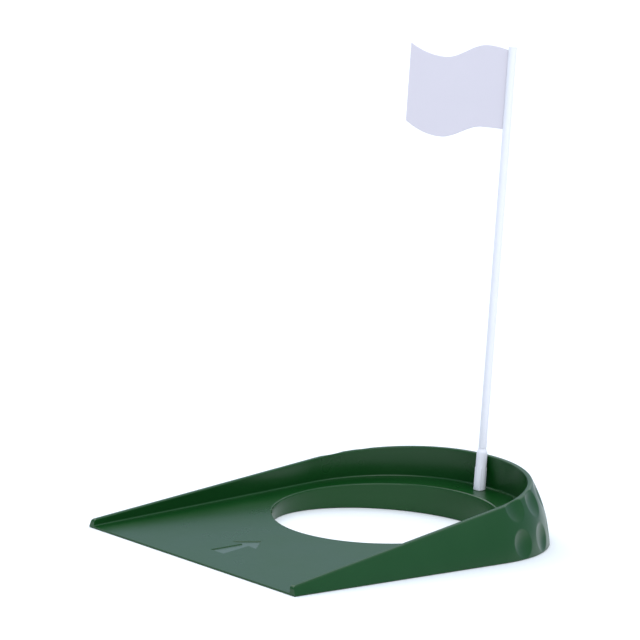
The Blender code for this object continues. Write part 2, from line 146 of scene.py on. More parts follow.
class PUTTINGCUP_PG_stick(bpy.types.PropertyGroup):
    """Sizes of the flagstick: foot ferrule and pole."""
    collar_radius: in_mm("Collar Radius", "Radius of the foot ferrule", 2.7)
    top_radius: in_mm("Ferrule Top Radius", "Radius at the ferrule's mouth", 2.05)
    shoulder: in_mm("Shoulder Height", "Where the ferrule starts to taper", 33.9)
    rib_height: in_mm("Rib Height", "Top of the ribs above the ground", 27.0)
    rib_proud: in_mm("Rib Proud", "How far the ribs stand out", 0.22)
    rib_width: in_mm("Rib Width", "Width of one rib", 1.4)
    ribs: count_property("Ribs", "Ribs round the foot", 4)
    peg_radius: in_mm("Peg Radius", "Peg in the socket", 2.1)
    pole_radius: in_mm("Pole Radius", "Radius of the pole", 2.0)
    spigot_radius: in_mm("Spigot Radius", "Thin end of the pole inside the ferrule", 1.2)
    spigot_length: in_mm("Spigot Length", "Length of that thin end", 16.0)
    end_round: in_mm("End Rounding", "Rounded top of the pole", 0.5)
    fit_gap: in_mm("Fit Gap", "Clearance between pieces that touch", 0.3)


class PUTTINGCUP_PG_flag(bpy.types.PropertyGroup):
    """Sizes of the flag."""
    reach: in_mm("Reach", "Pole axis to the free edge", 53.2)
    side_height: in_mm("Side Height", "Height of the straight sides", 38.3)
    bottom: in_mm("Bottom", "Lower corners above the ground", 193.3)
    top_crest: in_mm("Top Crest", "Crest above the upper corners", 1.6)
    top_trough: in_mm("Top Trough", "Trough below the upper corners", 5.6)
    bottom_crest: in_mm("Bottom Crest", "Crest above the lower corners", 0.2)
    bottom_trough: in_mm("Bottom Trough", "Trough below the lower corners", 6.4)
    crest_reach: in_mm("Crest Reach", "Crest from the pole axis", 12.8)
    trough_reach: in_mm("Trough Reach", "Trough from the pole axis", 34.4)
    thickness: in_mm("Thickness", "Thickness of the sheet", 0.8)
    edge_round: in_mm("Edge Rounding", "Rounded edges of the sheet", 0.22)
    groove_depth: in_mm("Groove Depth", "Groove in the pole for the flag's edge", 0.9)
    turn: in_degrees("Turn", "Turn of the flag towards the front", 22.5)


class PUTTINGCUP_PG_finish(bpy.types.PropertyGroup):
    """Colours and gloss."""
    green: colour_property("Base Green", "Dark green moulded plastic", (0.0022, 0.0430, 0.0052, 1.0))
    green_worn: colour_property("Base Green, Pale", "Paler drift in the same plastic",
                                (0.0034, 0.0520, 0.0074, 1.0))
    green_gloss: plain("Base Roughness", "Roughness of the green plastic", 0.30, 0.0, 1.0)
    # painted sheen: a paler green on the arrow's sunken floor stands in for the lighter sheen seen
    # there
    engraved: colour_property("Engraved Green", "Frosted floor of the engraved arrow",
                              (0.055, 0.100, 0.072, 1.0))
    shine: plain("Shine", "Strength of the plastic's reflections", 0.34, 0.0, 1.0)
    white: colour_property("Stick White", "White plastic of pole and foot", (0.745, 0.735, 0.775, 1.0))
    white_gloss: plain("Stick Roughness", "Roughness of the white plastic", 0.36, 0.0, 1.0)
    flag: colour_property("Flag White", "Lavender white of the flag", (0.63, 0.59, 0.64, 1.0))
    flag_gloss: plain("Flag Roughness", "Roughness of the flag", 0.5, 0.0, 1.0)


class PUTTINGCUP_PG_stage(bpy.types.PropertyGroup):
    """Camera, floor and light."""
    azimuth: in_degrees("Azimuth", "Camera round the object, from the front", 47.307)
    elevation: in_degrees("Elevation", "Camera above the horizon", 7.852)
    roll: in_degrees("Roll", "Camera tilt about its own axis", 3.799)
    distance: in_mm("Distance", "Camera to the point it looks at", 1204.9)
    target_x: plain("Target X", "Point looked at, across, in metres", -0.042709, -1.0, 1.0)
    target_y: plain("Target Y", "Point looked at, along, in metres", 0.009, -1.0, 1.0)
    target_z: plain("Target Z", "Point looked at, up, in metres", 0.09701, -1.0, 1.0)
    lens: plain("Lens", "Focal length in millimetres on a 36 mm sensor", 140.625, 10.0, 400.0)
    floor: colour_property("Floor", "Colour of the floor", (0.90, 0.90, 0.90, 1.0))
    floor_reach: plain("Floor Reach", "Half the floor's width in metres", 500.0, 1.0, 900.0)
    surround: colour_property("Surround", "Colour of the dim surround", (0.373, 0.463, 0.583, 1.0))
    surround_level: plain("Surround Level", "Brightness of the surround", 1.2)
    camera_side: plain("Camera Light", "Strength of the soft light above the camera", 1.41)
    left_side: plain("Left Light", "Strength of the soft light on the left", 1.22)
    right_side: plain("Right Light", "Strength of the soft light on the right", 0.73)
    far_side: plain("Back Light", "Strength of the soft light behind", 0.47)
    softness: in_degrees("Softness", "Width of each soft light in the sky", 50.0)


class PUTTINGCUP_PG_settings(bpy.types.PropertyGroup):
    """Everything a user may change."""
    base: PointerProperty(type=PUTTINGCUP_PG_base)
    dimples: PointerProperty(type=PUTTINGCUP_PG_dimples)
    arrow: PointerProperty(type=PUTTINGCUP_PG_arrow)
    stick: PointerProperty(type=PUTTINGCUP_PG_stick)
    flag: PointerProperty(type=PUTTINGCUP_PG_flag)
    finish: PointerProperty(type=PUTTINGCUP_PG_finish)
    stage: PointerProperty(type=PUTTINGCUP_PG_stage)


# ------------------------------------------------------------------ node helpers
class Field:
    """A number in a node tree that can be added and multiplied like a plain number."""

    def __init__(self, tree, socket):
        self.tree = tree
        self.socket = socket

    def math(self, operation, *others):
        node = add_node(self.tree, "ShaderNodeMath", enumerate((self, *others)), operation=operation)
        return Field(self.tree, node.outputs[0])

    def __add__(self, other):
        return self.math("ADD", other)

    def __sub__(self, other):
        return self.math("SUBTRACT", other)

    def __mul__(self, other):
        return self.math("MULTIPLY", other)

    def __truediv__(self, other):
        return self.math("DIVIDE", other)

    def low(self, other):
        return self.math("MINIMUM", other)

    def high(self, other):
        return self.math("MAXIMUM", other)

    def sin(self):
        return self.math("SINE")

    def cos(self):
        return self.math("COSINE")


def add_node(tree, kind, feeds=(), **settings):
    """A new node; each feed is a slot with a field, a socket or a plain value."""
    node = tree.nodes.new(kind)
    for name, value in settings.items():
        setattr(node, name, value)
    for slot, value in dict(feeds).items():
        source = value.socket if isinstance(value, Field) else value
        if isinstance(source, bpy.types.NodeSocket):
            tree.links.new(source, node.inputs[slot])
        else:
            node.inputs[slot].default_value = source
    return node


def new_tree(name, numbers, counts):
    """A geometry node tree with named inputs; returns the tree and its input fields."""
    tree = bpy.data.node_groups.new(name, "GeometryNodeTree")
    labels = numbers + counts
    for label in labels:
        kind = "NodeSocketInt" if label in counts else "NodeSocketFloat"
        tree.interface.new_socket(name=label, in_out="INPUT", socket_type=kind)
    tree.interface.new_socket(name="Geometry", in_out="OUTPUT", socket_type="NodeSocketGeometry")
    start = tree.nodes.new("NodeGroupInput")
    return tree, {label: Field(tree, start.outputs[label]) for label in labels}


def end_tree(tree, geometry, material):
    """Realize Instances and Set Material close every tree."""
    real = add_node(tree, "GeometryNodeRealizeInstances", {0: geometry})
    paint = add_node(tree, "GeometryNodeSetMaterial",
                     {"Geometry": real.outputs[0], "Material": material})
    add_node(tree, "NodeGroupOutput", {0: paint.outputs[0]})


def vector(tree, x, y, z):
    return add_node(tree, "ShaderNodeCombineXYZ", enumerate((x, y, z))).outputs[0]


def point_index(tree):
    return Field(tree, add_node(tree, "GeometryNodeInputIndex").outputs[0])


def sheet_grid(tree, across, up):
    """A grid of points, with the column and the row of each."""
    grid = add_node(tree, "GeometryNodeMeshGrid", {"Vertices X": across, "Vertices Y": up})
    index = point_index(tree)
    column = ((index + 0.5) / up).math("FLOOR")
    return grid.outputs["Mesh"], column, index - column * up


def moved(tree, geometry, position):
    feeds = {"Geometry": geometry, "Position": position}
    return add_node(tree, "GeometryNodeSetPosition", feeds).outputs[0]


def grown(name, tree, values):
    """Runs a tree on an empty object and returns the result as a plain mesh."""
    holder = bpy.data.objects.new(name + "_grower", bpy.data.meshes.new(name + "_grower"))
    bpy.context.scene.collection.objects.link(holder)
    mod = holder.modifiers.new(tree.name, "NODES")
    mod.node_group = tree
    for item in tree.interface.items_tree:
        if item.in_out == "INPUT" and item.name in values:
            mod[item.identifier] = values[item.name]
    mesh = evaluated_mesh(holder)
    mesh.name = name
    bpy.data.objects.remove(holder, do_unlink=True)
    return mesh


def evaluated_mesh(ob):
    bpy.context.view_layer.update()
    depsgraph = bpy.context.evaluated_depsgraph_get()
    return bpy.data.meshes.new_from_object(ob.evaluated_get(depsgraph), preserve_all_data_layers=True,
                                           depsgraph=depsgraph)


# ------------------------------------------------------------------ mesh helpers
def collection(name):
    found = bpy.data.collections.get(name)
    if found is None:
        found = bpy.data.collections.new(name)
        bpy.context.scene.collection.children.link(found)
    return found


def link_mesh(name, mesh, group="putting_cup"):
    ob = bpy.data.objects.new(name, mesh)
    collection(group).objects.link(ob)
    return ob


def mesh_of(name, bm, matrix=None):
    if matrix is not None:
        bmesh.ops.transform(bm, matrix=matrix, verts=bm.verts)
    bmesh.ops.recalc_face_normals(bm, faces=bm.faces)
    mesh = bpy.data.meshes.new(name)
    bm.to_mesh(mesh)
    bm.free()
    return mesh


def drop_objects(obs):
    for ob in obs:
        bpy.data.objects.remove(ob, do_unlink=True)


def carved(ob, cutters, operation="DIFFERENCE"):
    """Applies exact Booleans one after another and leaves a plain mesh."""
    for cutter in cutters:
        mod = ob.modifiers.new(operation.lower() + "_" + cutter.name, "BOOLEAN")
        mod.operation = operation
        mod.solver = "EXACT"
        mod.object = cutter
    mesh = evaluated_mesh(ob)
    ob.modifiers.clear()
    old = ob.data
    ob.data = mesh
    bpy.data.meshes.remove(old)
    return ob


def smooth_plastic(ob, degrees=34.0):
    """Smooth shading that stays flat on flat faces, with creases kept where they are sharp."""
    ob.data.shade_smooth()
    ob.data.set_sharp_from_angle(angle=math.radians(degrees))
    mod = ob.modifiers.new("even_normals", "WEIGHTED_NORMAL")
    mod.mode = "FACE_AREA"
    mod.weight = 60
    mod.keep_sharp = True
    mesh = evaluated_mesh(ob)
    ob.modifiers.clear()
    ob.data = mesh


def finish_piece(ob, material, body, node):
    """Moves a piece out of the workshop, gives it its plastic and its body, and hides the CAD node it
    replaces.
    """
    for group in list(ob.users_collection):
        group.objects.unlink(ob)
    collection("putting_cup").objects.link(ob)
    smooth_plastic(ob)
    ob.data.materials.clear()
    ob.data.materials.append(material)
    for polygon in ob.data.polygons:
        polygon.material_index = 0
    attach(ob, body)
    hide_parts(node)


def loft(name, rings):
    """A closed solid through rings of equal count, flat at both ends."""
    bm = bmesh.new()
    loops = [[bm.verts.new(p) for p in points] for points in rings]
    count = len(loops[0])
    for low, high in zip(loops, loops[1:]):
        for i in range(count):
            j = (i + 1) % count
            bm.faces.new((low[i], low[j], high[j], high[i]))
    bm.faces.new(loops[0])
    bm.faces.new(list(reversed(loops[-1])))
    return link_mesh(name, mesh_of(name, bm), "workshop")


def turned(name, profile, steps, matrix=None):
    """A turned solid from a profile of (radius, height), top to bottom on its outer side."""
    bm = bmesh.new()
    rings = []
    for r, z in profile:
        if r < 1e-7:
            rings.append([bm.verts.new((0.0, 0.0, z))])
        else:
            turns = [2.0 * math.pi * i / steps for i in range(steps)]
            rings.append([bm.verts.new((r * math.cos(a), r * math.sin(a), z)) for a in turns])
    for high, low in zip(rings, rings[1:]):
        for i in range(steps):
            j = (i + 1) % steps
            corners = [high[i % len(high)], low[i % len(low)], low[j % len(low)], high[j % len(high)]]
            unique = list(dict.fromkeys(corners))
            if len(unique) > 2:
                bm.faces.new(unique)
    return link_mesh(name, mesh_of(name, bm, matrix), "workshop")


def quarter(steps):
    """Angles of a quarter turn, both ends included."""
    return [math.pi / 2.0 * i / steps for i in range(steps + 1)]


# ------------------------------------------------------------------ plastics
GLOSS_DRIFT = 0.035   # how far the roughness strays either way


def speckled_plastic(name, deep, pale, roughness, grain, grain_height, mottling, shine):
    """Moulded plastic: faint colour drift, uneven gloss and the fine skin left by the mould."""
    mat = bpy.data.materials.new(name)
    mat.use_nodes = True
    tree = mat.node_tree
    shader = tree.nodes["Principled BSDF"]
    place = add_node(tree, "ShaderNodeTexCoord").outputs["Object"]
    drift = add_node(tree, "ShaderNodeTexNoise", {
        "Vector": place, "Scale": mottling, "Detail": 3.0, "Roughness": 0.55}).outputs["Fac"]
    blend = add_node(tree, "ShaderNodeMix", {0: drift, 6: deep, 7: pale}, data_type="RGBA")
    gloss = add_node(tree, "ShaderNodeMapRange", {
        "Value": drift, "From Min": 0.3, "From Max": 0.7,
        "To Min": roughness - GLOSS_DRIFT, "To Max": roughness + GLOSS_DRIFT})
    skin = add_node(tree, "ShaderNodeTexNoise", {"Vector": place, "Scale": grain, "Detail": 1.0})
    bump = add_node(tree, "ShaderNodeBump", {
        "Height": skin.outputs["Fac"], "Strength": 1.0, "Distance": grain_height})
    tree.links.new(blend.outputs[2], shader.inputs["Base Color"])
    tree.links.new(gloss.outputs["Result"], shader.inputs["Roughness"])
    tree.links.new(bump.outputs["Normal"], shader.inputs["Normal"])
    shader.inputs["IOR"].default_value = 1.5
    shader.inputs["Specular IOR Level"].default_value = shine
    mat.diffuse_color = deep
    return mat


def base_green(finish):
    """The green plastic; a face attribute picks out the arrow's sunken floor, which gets a paler colour
    as a painted sheen.
    """
    mat = speckled_plastic("moulded_green", finish.green, finish.green_worn, finish.green_gloss,
                           900.0, 0.000004, 35.0, finish.shine)
    tree = mat.node_tree
    colour = tree.nodes["Principled BSDF"].inputs["Base Color"]
    # painted sheen: faces of the arrow floor are mixed towards the paler engraved colour
    sheen_mark = add_node(tree, "ShaderNodeAttribute", attribute_name="painted_sheen")
    mix = add_node(tree, "ShaderNodeMix", {
        0: sheen_mark.outputs["Fac"], 6: colour.links[0].from_socket, 7: finish.engraved}, data_type="RGBA")
    tree.links.new(mix.outputs[2], colour)
    return mat


def paler(colour, share):
    return tuple(min(1.0, c * share) for c in colour[:3]) + (1.0,)


def stick_white(finish):
    return speckled_plastic("moulded_white", finish.white, paler(finish.white, 1.04),
                            finish.white_gloss, 1200.0, 0.000010, 60.0, finish.shine)


def flag_white(finish):
    return speckled_plastic("flag_sheet", finish.flag, paler(finish.flag, 1.03),
                            finish.flag_gloss, 900.0, 0.000014, 45.0, finish.shine)


# ------------------------------------------------------------------ the green base
class BaseShape:
    """The rules that every surface of the base follows; y is measured from the front lip."""

    def __init__(self, size):
        self.size = size
        self.middle = -BASE_LOW.y
        self.centre = size.length - size.back_radius

    def rim(self, y):
        return self.size.rim_front + self.size.rim_slope * y

    def ramp(self, y):
        return self.size.ramp_front + self.size.ramp_slope * y

    def outer(self, y, z):
        """Inset of the outer wall face at height z."""
        return self.size.wall_draft * z - self.size.wall_bulge * z * (self.rim(y) - z)

    def outline(self, front, steps):
        """Points of the ground outline with their inward normals."""
        r = self.size.back_radius
        points = [(r, front, -1.0, 0.0)]
        lead = 24
        for i in range(1, lead):
            points.append((r, front + (self.centre - front) * i / lead, -1.0, 0.0))
        for i in range(steps + 1):
            a = math.pi * i / steps
            c, s, power = math.cos(a), math.sin(a), self.size.back_squareness
            reach = r * (abs(c) ** power + abs(s) ** power) ** (-1.0 / power)
            points.append((reach * c, self.centre + reach * s, -c, -s))
        for i in range(1, lead):
            points.append((-r, self.centre + (front - self.centre) * i / lead, 1.0, 0.0))
        points.append((-r, front, 1.0, 0.0))
        return points

    def ring(self, front, steps, inset_of, height_of):
        out = []
        for x, y, nx, ny in self.outline(front, steps):
            px, py = x, y
            for _ in range(10):
                inset = inset_of(py)
                px, py = x + nx * inset, y + ny * inset
            out.append(Vector((px, py - self.middle, height_of(py))))
        return out

    def inner(self, y, z):
        """Inset of the inner wall face at height z."""
        s = self.size
        return s.wall_draft * self.rim(y) + s.rim_thickness - s.inner_lean * (self.rim(y) - z)

    def tray(self):
        """The space between the walls, with the fillet at its foot and the rounded inner rim."""
        s, front, steps, rings = self.size, -PAST, 200, []
        for a in quarter(6):
            inward = s.foot_fillet * (1.0 - math.sin(a))
            lift = s.foot_fillet * (1.0 - math.cos(a))
            rings.append(self.ring(front, steps,
                                   lambda y: self.inner(y, self.ramp(y) + lift) + inward,
                                   lambda y: self.ramp(y) + lift))
        for a in quarter(6):
            drop = s.rim_round * (1.0 - math.sin(a))
            outward = s.rim_round * (1.0 - math.cos(a))
            rings.append(self.ring(front, steps,
                                   lambda y: self.inner(y, self.rim(y) - drop) - outward,
                                   lambda y: self.rim(y) - drop))
        rings.append(self.ring(front, steps,
                               lambda y: self.inner(y, self.rim(y)) - s.rim_round,
                               lambda y: self.rim(y) + PAST))
        return loft("tray_space", rings)

    def hollow(self):
        """The open space under the ramp."""
        s, front, steps, rings = self.size, SOLID_FRONT, 96, []
        rings.append(self.ring(front, steps, lambda y: s.wall_skin + self.outer(y, -0.001),
                               lambda y: -0.001))
        top = 0.0003
        for a in quarter(3):
            drop = top * (1.0 - math.sin(a))
            inward = top * (1.0 - math.cos(a))
            rings.append(self.ring(front, steps,
                                   lambda y: s.wall_skin + inward
                                   + self.outer(y, self.ramp(y) - s.ramp_skin - drop),
                                   lambda y: self.ramp(y) - s.ramp_skin - drop))
        return loft("under_space", rings)

    def circle_on_ramp(self, radius, lift, steps, flat=None):
        """A circle round the hole, at a height above the sloping ramp or at a fixed height."""
        s, out = self.size, []
        for i in range(steps):
            a = 2.0 * math.pi * i / steps
            x, y = radius * math.cos(a), s.hole_reach + radius * math.sin(a)
            z = self.ramp(y) + lift if flat is None else flat
            out.append(Vector((x, y - self.middle, z)))
        return out

    def hole(self):
        """The cup: a plain tube with a rounded edge where it meets the ramp."""
        s, steps = self.size, 240
        rings = [self.circle_on_ramp(s.hole_radius + wider, 0.0, steps, height)
                 for wider, height in ((0.0003, -0.001), (0.0003, 0.0), (0.0, 0.0003))]
        for a in quarter(6):
            rings.append(self.circle_on_ramp(s.hole_radius + s.hole_round * (1.0 - math.cos(a)),
                                             -s.hole_round * (1.0 - math.sin(a)), steps))
        rings.append(self.circle_on_ramp(s.hole_radius + s.hole_round, PAST, steps))
        return loft("cup_space", rings)

    def end_rounding(self):
        """Space above the rounded front ends of the side walls."""
        s = self.size
        r, width = s.end_round, s.back_radius + PAST
        profile = [(-0.002, self.rim(0.0) - r - 0.0002), (0.0, self.rim(0.0) - r - 0.0002)]
        for a in quarter(8):
            y = r * (1.0 - math.cos(a))
            profile.append((y, self.rim(y) - r * (1.0 - math.sin(a))))
        profile += [(r + 0.001, self.rim(r + 0.001) + 0.0005), (r + 0.001, self.rim(r) + PAST),
                    (-0.002, self.rim(r) + PAST)]
        rings = [[Vector((x, y - self.middle, z)) for y, z in profile] for x in (-width, width)]
        return loft("wall_end_space", rings)

    def arrow(self, size):
        """The arrow's outline, engraved with slightly sloping sides."""
        neck = size.neck_reach - size.tail_reach
        tip = size.tip_reach - size.tail_reach
        half = [(size.tail_width / 2.0, 0.0), (size.neck_width / 2.0, neck),
                (size.head_width / 2.0, neck - size.barb_sweep)]
        points = half + [(0.0, tip)] + [(-x, y) for x, y in reversed(half)]
        start = Matrix.Translation((0.0, size.tail_reach - self.middle, self.ramp(size.tail_reach)))
        place = start @ Matrix.Rotation(math.atan(self.size.ramp_slope), 4, "X")
        rings = []
        for shrink, height in ((0.00022, -size.depth), (0.00012, -size.depth * 0.92),
                               (0.0, -size.depth * 0.5), (-0.00010, -0.00008), (-0.00022, 0.00002),
                               (-0.00022, size.depth)):
            rings.append([place @ Vector((x, y, height)) for x, y in offset_outline(points, shrink)])
        return loft("arrow_space", rings)


def offset_outline(points, inward):
    """A closed outline moved inwards along its own corner bisectors."""
    out = []
    count = len(points)
    for i in range(count):
        a, b, c = (Vector(points[(i + k) % count]) for k in (-1, 0, 1))
        before, after = (b - a).normalized(), (c - b).normalized()
        na, nb = Vector((-before.y, before.x)), Vector((-after.y, after.x))
        join = na + nb
        out.append(b + join * (inward / max(0.2, join.dot(na))))
    return out


def dimpled_wall_tree(material):
    """The outer wall as one sheet of quads: a drafted U with a rounded rim and round dimples."""
    names = ["Back Radius", "Straight Length", "Draft", "Rim Front", "Rim Slope", "Rim Rounding",
             "Foot Rounding", "Middle", "Dimple Radius", "Dimple Depth", "Low Row", "High Row",
             "First Angle", "Edge Blend", "Bulge", "Squareness"]
    tree, f = new_tree("Dimpled Wall", names,
                       ["Columns", "Side Steps", "Back Steps", "Wall Steps", "Round Steps"])
    radius, straight, middle = f["Back Radius"], f["Straight Length"], f["Middle"]
    side, back = f["Side Steps"], f["Back Steps"]
    wall, rounds = f["Wall Steps"], f["Round Steps"]
    sheet, column, row = sheet_grid(tree, side * 2.0 + back + 1.0, wall + rounds * 2.0 + 1.0)
    # along the outline: straight side, half turn, straight side
    turn = (column - side).high(0.0).low(back) / back * math.pi
    first = column.low(side) / side * straight
    second = (column - side - back).high(0.0) / side * straight
    sine, cosine = turn.sin(), turn.cos()
    power = f["Squareness"]

    def back_reach(sideways, backwards):
        total = (sideways.math("ABSOLUTE").math("POWER", power)
                 + backwards.math("ABSOLUTE").math("POWER", power))
        return radius / total.math("POWER", (power * 0.0 + 1.0) / power)

    out_x = back_reach(cosine, sine) * cosine
    out_y = first - second + back_reach(cosine, sine) * sine
    # up the wall: rounded foot, drafted wall, rounded rim
    foot = row.low(rounds) / rounds * (math.pi / 2.0)
    climb = (row - rounds).high(0.0).low(wall) / wall
    bend = (row - rounds - wall).high(0.0) / rounds * (math.pi / 2.0)
    foot_in = f["Foot Rounding"] * (foot.sin() * -1.0 + 1.0)
    foot_up = f["Foot Rounding"] * (foot.cos() * -1.0 + 1.0)
    rim_in = f["Rim Rounding"] * (bend.cos() * -1.0 + 1.0)
    rim_drop = f["Rim Rounding"] * (bend.sin() * -1.0 + 1.0)
    lean = f["Draft"]
    crest = (f["Rim Front"] + f["Rim Slope"] * (out_y + sine * (lean * rim_drop - rim_in)))
    crest = crest / (f["Rim Slope"] * lean * sine + 1.0)
    level = (crest - rim_drop - foot_up) * climb + foot_up
    inset = lean * level - f["Bulge"] * level * (crest - level) + foot_in + rim_in
    x = out_x - cosine * inset
    y = out_y - sine * inset
    flat = vector(tree, x, y - middle, level)
    # dimple centres, two rows round the back
    number = point_index(tree)
    place = (number / 2.0).math("FLOOR")
    upper = number - place * 2.0
    share = place / (f["Columns"] - 1.0)
    angle = f["First Angle"] + (f["First Angle"] * -2.0 + math.pi) * share
    height = f["Low Row"] + (f["High Row"] - f["Low Row"]) * upper
    tall = f["Rim Front"] + f["Rim Slope"] * (straight + (radius - lean * height) * angle.sin())
    reach = back_reach(angle.cos(), angle.sin()) - lean * height + f["Bulge"] * height * (tall - height)
    spot = vector(tree, reach * angle.cos(), straight + reach * angle.sin() - middle, height)
    spots = add_node(tree, "GeometryNodePoints", {"Count": f["Columns"] * 2.0, "Position": spot})
    near = add_node(tree, "GeometryNodeProximity", {0: spots.outputs[0], "Sample Position": flat},
                    target_element="POINTS")
    share = Field(tree, near.outputs["Distance"]) / f["Dimple Radius"]
    bowl = (share * share * -1.0 + 1.0) * f["Dimple Depth"]
    press = bowl.math("SMOOTH_MAX", 0.0, f["Edge Blend"])
    share_up = level / crest
    fall = f["Rim Slope"] * sine * press * share_up
    final = vector(tree, x - cosine * press, y - sine * press - middle, level - fall)
    end_tree(tree, moved(tree, sheet, final), material)
    return tree


def wall_solid(shape, dimples, material):
    """The wall sheet from its node tree, closed below, above and in front."""
    size = shape.size
    tree = dimpled_wall_tree(material)
    values = {"Back Radius": size.back_radius, "Straight Length": shape.centre,
              "Draft": size.wall_draft, "Rim Front": size.rim_front, "Rim Slope": size.rim_slope,
              "Rim Rounding": size.rim_round, "Foot Rounding": 0.0004, "Middle": shape.middle,
              "Dimple Radius": dimples.radius, "Dimple Depth": dimples.depth,
              "Low Row": dimples.low_row, "High Row": dimples.high_row,
              "First Angle": dimples.first_angle, "Edge Blend": dimples.edge_blend,
              "Bulge": size.wall_bulge, "Squareness": size.back_squareness,
              "Columns": dimples.columns, "Side Steps": SIDE_STEPS, "Back Steps": BACK_STEPS,
              "Wall Steps": WALL_STEPS, "Round Steps": ROUND_STEPS}
    mesh = grown("wall_sheet", tree, values)
    across, up = 2 * SIDE_STEPS + BACK_STEPS + 1, WALL_STEPS + 2 * ROUND_STEPS + 1
    bm = bmesh.new()
    bm.from_mesh(mesh)
    bm.verts.ensure_lookup_table()
    verts = list(bm.verts)
    if len(verts) != across * up:
        raise RuntimeError("the wall sheet has an unexpected number of points")
    bottom = [verts[i * up] for i in range(across)]
    top = [verts[i * up + up - 1] for i in range(across)]
    right = verts[:up]
    left = verts[(across - 1) * up:]
    bm.faces.new(bottom)
    bm.faces.new(list(reversed(top)))
    bm.faces.new(right + list(reversed(left)))
    return link_mesh("putting_base_moulding", mesh_of("putting_base_moulding", bm))


class PUTTINGCUP_OT_base(bpy.types.Operator):
    """Mould the green base with its ramp, cup, walls, dimples and arrow"""
    bl_idname = "putting_cup.base"
    bl_label = "Putting Base"

    def execute(self, context):
        settings = context.scene.putting_cup
        material = base_green(settings.finish)
        shape = BaseShape(settings.base)
        size = settings.base
        base = wall_solid(shape, settings.dimples, material)
        pole_reach = POLE_MIDDLE.y + shape.middle
        ledge = shape.ramp(pole_reach)
        under = shape.hollow()
        low, reach = -PAST / 2.0, size.hole_radius + size.skirt_skin
        skirt = loft("skirt_solid", [shape.circle_on_ramp(reach, 0.0, 160, z) for z in (low, TALL)])
        post = [(0.0, TALL), (size.boss_radius, TALL), (size.boss_radius, low), (0.0, low)]
        boss = turned("boss_solid", post, 64, Matrix.Translation((0.0, POLE_MIDDLE.y, 0.0)))
        carved(under, [skirt, boss])
        r, d = size.socket_radius, size.socket_depth
        bore = [(0.0, PAST), (r + 0.0004, PAST), (r + 0.0003, 0.0004), (r, -0.0004), (r, -d), (0.0, -d)]
        socket = turned("socket_space", bore, 48, Matrix.Translation((0.0, POLE_MIDDLE.y, ledge)))
        cutters = [shape.tray(), under, shape.hole(), socket, shape.end_rounding(),
                   shape.arrow(settings.arrow)]
        carved(base, cutters)
        drop_objects(cutters + [skirt, boss])
        finish_piece(base, material, "base", "putting_base")
        self.mark_arrow_sheen(base.data, shape, settings.arrow)
        return {"FINISHED"}

    def mark_arrow_sheen(self, mesh, shape, arrow):
        """Picks out the sunken floor of the arrow for its painted sheen, a paler base colour."""
        marks = mesh.attributes.new("painted_sheen", "FLOAT", "FACE")
        for polygon in mesh.polygons:
            x, y, z = polygon.center
            reach = y + shape.middle
            sunk = shape.ramp(reach) - z
            inside = abs(x) < arrow.head_width / 2.0 and arrow.tail_reach < reach < arrow.tip_reach
            floor = 0.9 * arrow.depth < sunk < 1.1 * arrow.depth
            marks.data[polygon.index].value = float(inside and floor)


# ------------------------------------------------------------------ the flagstick
def foot_rib_tree(material):
    """Half-round ribs with rounded tops, set round the foot of the flagstick."""
    names = ["Rib Radius", "Rib Length", "Rib Middle", "Reach", "Turn", "Centre Y"]
    tree, f = new_tree("Foot Ribs", names, ["Ribs"])
    rod = add_node(tree, "GeometryNodeMeshCylinder", {
        "Vertices": 20, "Side Segments": 60, "Radius": f["Rib Radius"], "Depth": f["Rib Length"]})
    where = add_node(tree, "GeometryNodeInputPosition").outputs[0]
    split = add_node(tree, "ShaderNodeSeparateXYZ", {0: where})
    px, py, pz = (Field(tree, s) for s in split.outputs)
    over = ((pz + f["Rib Radius"] * 1.6) - f["Rib Length"] * 0.5).high(0.0) / (f["Rib Radius"] * 1.6)
    pinch = (over * over * -0.9 + 1.0).math("SQRT")
    shaped = moved(tree, rod.outputs["Mesh"], vector(tree, px * pinch, py * pinch, pz))
    circle = add_node(tree, "GeometryNodeMeshCircle", {"Vertices": f["Ribs"], "Radius": f["Reach"]})
    place = add_node(tree, "GeometryNodeTransform", {
        "Geometry": circle.outputs["Mesh"],
        "Translation": vector(tree, 0.0, f["Centre Y"], f["Rib Middle"]),
        "Rotation": vector(tree, 0.0, 0.0, f["Turn"])})
    spread = add_node(tree, "GeometryNodeInstanceOnPoints",
                      {"Points": place.outputs[0], "Instance": shaped})
    end_tree(tree, spread.outputs[0], material)
    return tree


def lean_foot(mesh, slope, foot, lowest):
    """Tilts the lower end of a foot so that it follows the sloping ledge."""
    for vert in mesh.vertices:
        if lowest < vert.co.z < LEVEL_COLLAR:
            share = min(1.0, (LEVEL_COLLAR - vert.co.z) / (LEVEL_COLLAR - foot))
            vert.co.z += slope * (vert.co.y - POLE_MIDDLE.y) * share


